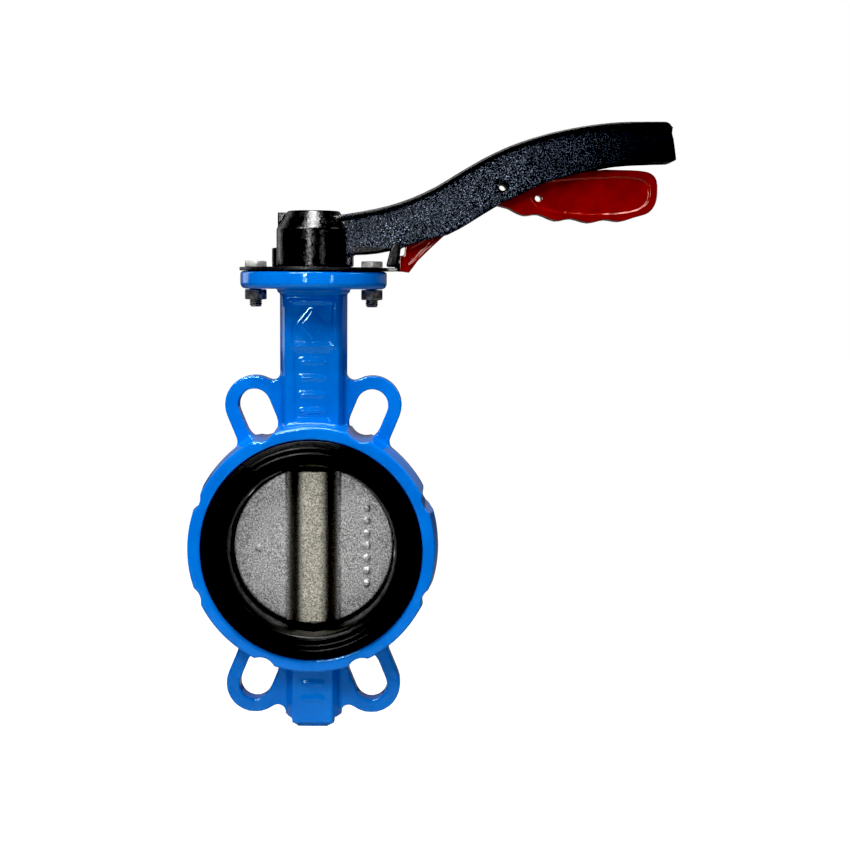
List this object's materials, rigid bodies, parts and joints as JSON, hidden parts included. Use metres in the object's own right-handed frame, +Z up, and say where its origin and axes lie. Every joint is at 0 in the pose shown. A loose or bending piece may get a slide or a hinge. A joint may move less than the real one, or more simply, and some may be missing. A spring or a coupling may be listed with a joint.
{
  "type": "butterfly valve",
  "caption": "Wafer butterfly valve with slotted ears, rubber seat, turning disc, and a lever with a spring trigger that locks in a notched plate.",
  "frame": {"origin": "centre of the bore, on the stem's axis", "axes": "+Z up the stem, +Y along the pipe, +X along the lever when the valve is closed"},
  "size_m": [0.303, 0.0991, 0.3813],
  "materials": {
    "blue_epoxy": "gloss",
    "seat_rubber": "satin",
    "disc_metal": "rough nickel plate",
    "stem_steel": "ground",
    "plate_black": "satin",
    "lever_black": "textured",
    "trigger_red": "gloss",
    "zinc": "zinc plate",
    "bush_polymer": "moulded"
  },
  "bodies": {
    "valve_frame": {"valve_body": "blue_epoxy", "seat_liner": "seat_rubber", "lower_neck_bush": "bush_polymer", "upper_neck_bush": "bush_polymer", "bottom_bush": "bush_polymer", "lower_o_ring": "seat_rubber", "upper_o_ring": "seat_rubber", "thrust_washer": "stem_steel", "retaining_ring": "stem_steel", "plug_seal": "seat_rubber", "bottom_plug": "stem_steel", "notch_plate": "plate_black", "flange_bolt_left": "zinc", "flange_bolt_right": "zinc", "flange_nut_left": "zinc", "flange_nut_right": "zinc"},
    "stem_and_lever": {"disc": "disc_metal", "upper_stem": "stem_steel", "lower_stem": "stem_steel", "lever": "lever_black", "lever_washer": "zinc", "lever_screw": "zinc", "trigger_pin": "plate_black"},
    "trigger": {"trigger": "trigger_red", "trigger_spring": "stem_steel"}
  },
  "joints": [
    {"name": "lever_turn", "type": "hinge", "parent": "valve_frame", "child": "stem_and_lever", "pos_m": [0, 0, 0], "axis": [0, 0, 1], "range_deg": [0, 90]},
    {"name": "trigger_squeeze", "type": "hinge", "parent": "stem_and_lever", "child": "trigger", "pos_m": [0.1173, 0, 0.2252], "axis": [0, -1, 0], "range_deg": [0, 7], "stiffness_Nm_per_rad": 1, "springref_deg": -17.19}
  ]
}
